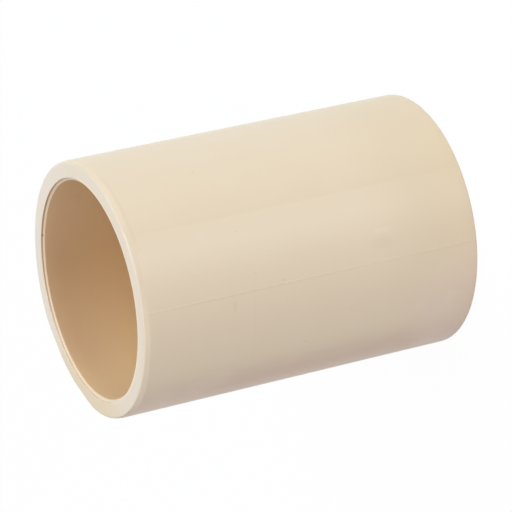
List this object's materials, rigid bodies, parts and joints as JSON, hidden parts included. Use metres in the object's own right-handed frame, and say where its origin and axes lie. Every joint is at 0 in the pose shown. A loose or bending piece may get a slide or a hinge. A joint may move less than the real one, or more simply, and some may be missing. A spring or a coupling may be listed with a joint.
{
  "type": "pipe coupling",
  "caption": "Straight slip coupling in cream CPVC: a plain round sleeve with a tapered solvent-weld socket in each end and a stop ring between them.",
  "frame": {"origin": "centre of the bottom end face, on the coupling's axis", "axes": "+Z along the axis towards the top end; +X and +Y across it; the trimmed gate flats are on the top edge about 125 degrees from +X towards +Y"},
  "size_m": [0.0266, 0.0266, 0.038],
  "materials": {
    "cpvc": "satin, as moulded"
  },
  "bodies": {
    "root": {"coupling": "cpvc"}
  },
  "joints": []
}
